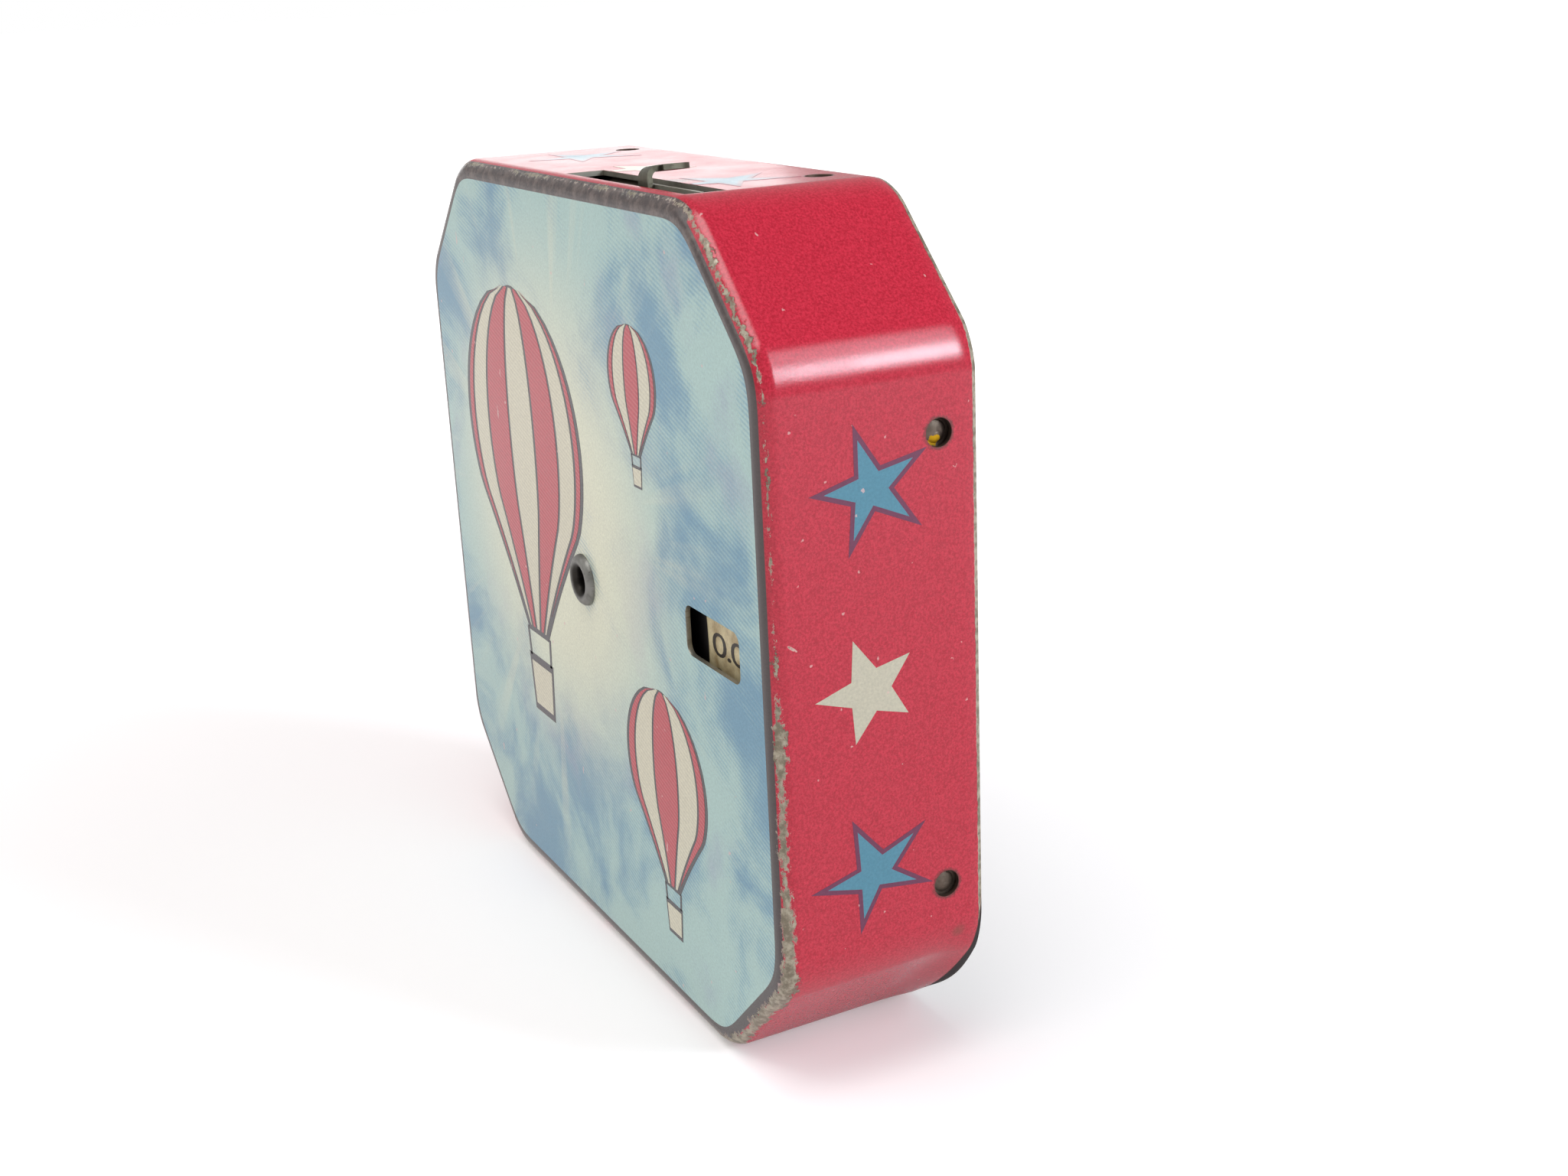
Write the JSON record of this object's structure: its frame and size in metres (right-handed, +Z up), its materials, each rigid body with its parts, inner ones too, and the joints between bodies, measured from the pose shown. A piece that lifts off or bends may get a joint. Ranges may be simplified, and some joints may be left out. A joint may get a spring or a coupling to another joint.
{
  "type": "coin register bank",
  "caption": "Small eight-sided tin coin bank with a slot and push lever on top, a counting dial behind a window in its face, and a back cover that the full count unlatches.",
  "frame": {"origin": "middle of the overall box at the bottom wall's outside", "axes": "+X right as seen from the front, +Y from the face to the back cover, +Z up"},
  "size_m": [0.0636, 0.0168, 0.0643],
  "materials": {
    "red_tin": "glossy lithographed print on tinplate, worn at the front bend",
    "bare_tin": "bare tinplate",
    "printed_dial": "printed cream ring round a black middle",
    "lever_steel": "plated steel strip",
    "steel": "stamped sheet steel",
    "spring_steel": "spring steel",
    "rivet_metal": "turned rivet steel",
    "arbor_metal": "dull dark rolled eyelet"
  },
  "bodies": {
    "case": {"front_shell": "red_tin", "mechanism_tray": "bare_tin", "coin_chute": "bare_tin", "dial_arbor": "arbor_metal", "spacer_washer": "steel", "arbor_washer": "steel", "lever_rivet": "rivet_metal", "lever_spring": "spring_steel", "holding_stud": "rivet_metal", "holding_spring": "spring_steel", "latch_rivet": "rivet_metal", "latch_spring": "spring_steel", "spring_posts": "rivet_metal", "kick_spring": "spring_steel"},
    "register": {"register_dial": "printed_dial", "ratchet_wheel": "steel", "dial_rivets": "rivet_metal", "trip_stud": "rivet_metal"},
    "lever": {"coin_lever": "lever_steel", "pawl_stud": "rivet_metal"},
    "drive_pawl": {"drive_pawl": "steel"},
    "holding_pawl": {"holding_pawl": "steel"},
    "latch": {"latch_lever": "steel"},
    "cover": {"back_cover": "bare_tin", "cover_strike": "steel"}
  },
  "joints": [
    {"name": "register_turn", "type": "hinge", "parent": "case", "child": "register", "pos_m": [0, -0.00647, 0.0315], "axis": [0, -1, 0], "continuous": true},
    {"name": "lever_push", "type": "hinge", "parent": "case", "child": "lever", "pos_m": [0.01535, -0.00562, 0.036], "axis": [0, 1, 0], "range_deg": [0, 14.98], "stiffness_Nm_per_rad": 0.002, "deforming": ["lever_spring"]},
    {"name": "drive_pawl_lift", "type": "hinge", "parent": "lever", "child": "drive_pawl", "pos_m": [0.01334, -0.00602, 0.03062], "axis": [0, 1, 0], "range_deg": [0, 10], "stiffness_Nm_per_rad": 0.0001, "deforming": ["lever_spring"]},
    {"name": "holding_pawl_lift", "type": "hinge", "parent": "case", "child": "holding_pawl", "pos_m": [-0.0045, -0.00602, 0.01891], "axis": [0, 1, 0], "range_deg": [0, 10], "stiffness_Nm_per_rad": 0.0001, "deforming": ["holding_spring"]},
    {"name": "latch_turn", "type": "hinge", "parent": "case", "child": "latch", "pos_m": [-0.01278, -0.0036, 0.01195], "axis": [0, 1, 0], "range_deg": [0, 6.5], "deforming": ["latch_spring"]},
    {"name": "cover_slide", "type": "slide", "parent": "case", "child": "cover", "axis": [0, 1, 0], "range_m": [0, 0.014], "deforming": ["kick_spring"]}
  ]
}
